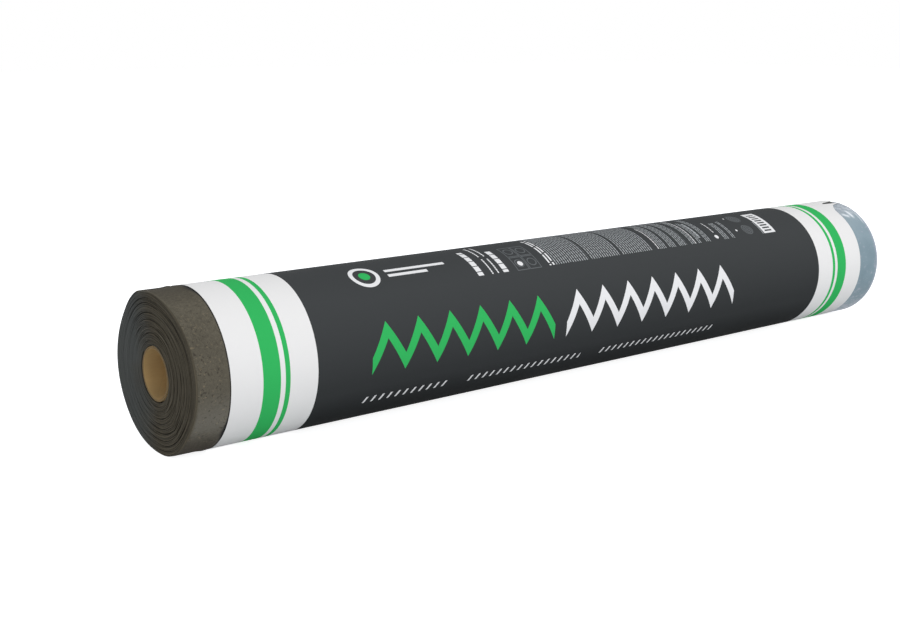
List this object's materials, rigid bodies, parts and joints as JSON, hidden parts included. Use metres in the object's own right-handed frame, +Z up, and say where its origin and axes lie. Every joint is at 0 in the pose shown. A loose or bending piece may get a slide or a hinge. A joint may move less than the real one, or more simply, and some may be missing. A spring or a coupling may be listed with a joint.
{
  "type": "roll of roofing felt",
  "caption": "Roll of roofing felt on a cardboard core, lying on its side, with a printed paper wrapper and a release film along its selvedge.",
  "frame": {"origin": "on the floor, under the middle of the roll", "axes": "+X along the roll from the bare felt end to the selvedge end with its film, +Z up"},
  "size_m": [1.0014, 0.1599, 0.1505],
  "materials": {
    "felt": "matte",
    "card": "matte",
    "paper": "satin",
    "film": "gloss"
  },
  "bodies": {
    "root": {"felt_roll": "felt", "core_tube": "card", "wrapper": "paper", "release_film": "film"}
  },
  "joints": []
}
